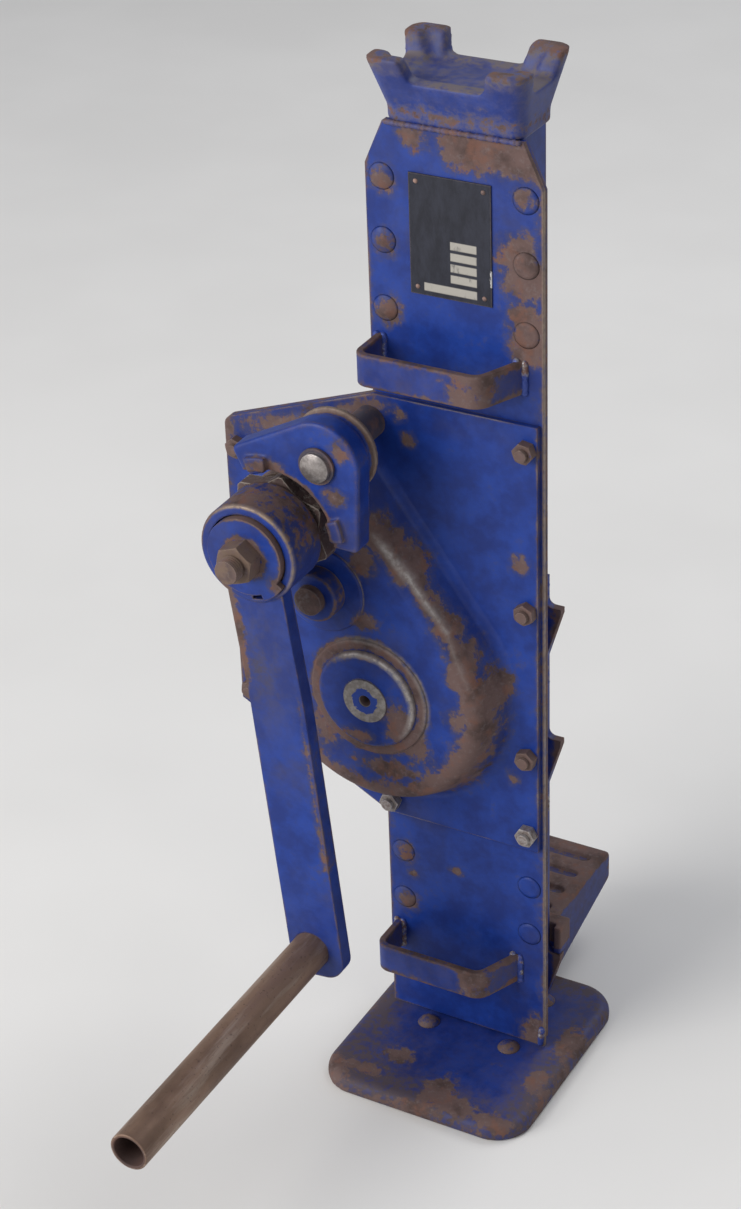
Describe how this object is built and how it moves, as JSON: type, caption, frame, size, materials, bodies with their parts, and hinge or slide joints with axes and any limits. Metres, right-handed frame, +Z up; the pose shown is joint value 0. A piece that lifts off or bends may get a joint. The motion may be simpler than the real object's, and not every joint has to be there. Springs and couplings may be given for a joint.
{
  "type": "rack and pinion jack",
  "caption": "Hand-cranked steel jack: a geared housing with a horned head and a low rear claw climbs a toothed rack on a foot plate, held by a ratchet brake.",
  "frame": {"origin": "centre of the foot plate's underside, on the floor", "axes": "+Z up along the rack, -Y the side with the gear cover and crank, +Y the claw's side"},
  "size_m": [0.255, 0.4963, 0.735],
  "materials": {
    "blue_paint": "ultramarine blue enamel, chipped to brown rust along edges",
    "bare_steel": "machined steel, oiled, lightly tarnished",
    "worn_tube": "bare steel tube, brown with use",
    "dark_steel": "dark fasteners with rust and traces of paint",
    "black_plate": "thin black plate with blank pale fields",
    "friction_lining": "woven brake lining, brown"
  },
  "bodies": {
    "stand": {"foot_plate": "blue_paint", "foot_rivets": "dark_steel", "rack_bar": "bare_steel"},
    "housing": {"front_plate": "blue_paint", "rear_casing": "blue_paint", "ear_plate": "blue_paint", "gear_case_back": "blue_paint", "gear_cover": "blue_paint", "cover_bolts": "dark_steel", "cover_nuts": "dark_steel", "column_rivets": "blue_paint", "rating_plate": "black_plate", "rating_plate_rivets": "bare_steel", "upper_carry_handle": "blue_paint", "lower_carry_handle": "blue_paint", "lower_rack_guide": "bare_steel", "upper_rack_guide": "bare_steel", "rack_backing_block": "bare_steel", "head_crown": "blue_paint", "lift_bush_front": "blue_paint", "lift_bush_rear": "bare_steel", "mid_bush_front": "blue_paint", "mid_bush_rear": "bare_steel", "crank_bush_front": "blue_paint", "crank_bush_rear": "bare_steel", "pawl_stud": "bare_steel"},
    "lift_shaft": {"lift_pinion_shaft": "bare_steel", "main_gear": "bare_steel", "main_gear_key": "bare_steel"},
    "mid_shaft": {"mid_pinion_shaft": "bare_steel", "mid_gear": "bare_steel", "mid_gear_key": "bare_steel"},
    "crank_shaft": {"crank_pinion_shaft": "bare_steel", "brake_lining_rear": "friction_lining", "ratchet_wheel": "bare_steel", "brake_lining_front": "friction_lining", "stop_disc": "dark_steel", "crank_nut": "dark_steel"},
    "crank": {"crank_arm": "blue_paint", "crank_handle_tube": "worn_tube"},
    "pawl": {"rocker_pawl": "blue_paint"},
    "claw": {"claw": "blue_paint"}
  },
  "joints": [
    {"name": "housing_lift", "type": "slide", "parent": "stand", "child": "housing", "axis": [0, 0, 1], "range_m": [0, 0.3499]},
    {"name": "crank_turn", "type": "hinge", "parent": "housing", "child": "crank_shaft", "pos_m": [-0.10053, 0, 0.43105], "axis": [0, 1, 0], "range_deg": [0, 10337.16]},
    {"name": "mid_turn", "type": "hinge", "parent": "housing", "child": "mid_shaft", "pos_m": [-0.08857, 0, 0.37226], "axis": [0, 1, 0], "range_deg": [-3445.72, 0]},
    {"name": "lift_turn", "type": "hinge", "parent": "housing", "child": "lift_shaft", "pos_m": [-0.056, 0, 0.297], "axis": [0, 1, 0], "range_deg": [0, 835.33]},
    {"name": "brake_release", "type": "hinge", "parent": "crank_shaft", "child": "crank", "pos_m": [-0.10053, 0, 0.43105], "axis": [0, 1, 0], "range_deg": [-20, 0]},
    {"name": "pawl_swing", "type": "hinge", "parent": "housing", "child": "pawl", "pos_m": [-0.065, 0, 0.48703], "axis": [0, 1, 0], "range_deg": [-5.5, 5.5]},
    {"name": "claw_lift", "type": "slide", "parent": "housing", "child": "claw", "axis": [0, 0, 1], "range_m": [0, 0.04]}
  ],
  "couplings": [
    {"joint": "crank_turn", "follows": "housing_lift", "rad_per_m": 515.62},
    {"joint": "mid_turn", "follows": "housing_lift", "rad_per_m": -171.88},
    {"joint": "lift_turn", "follows": "housing_lift", "rad_per_m": 41.667}
  ]
}
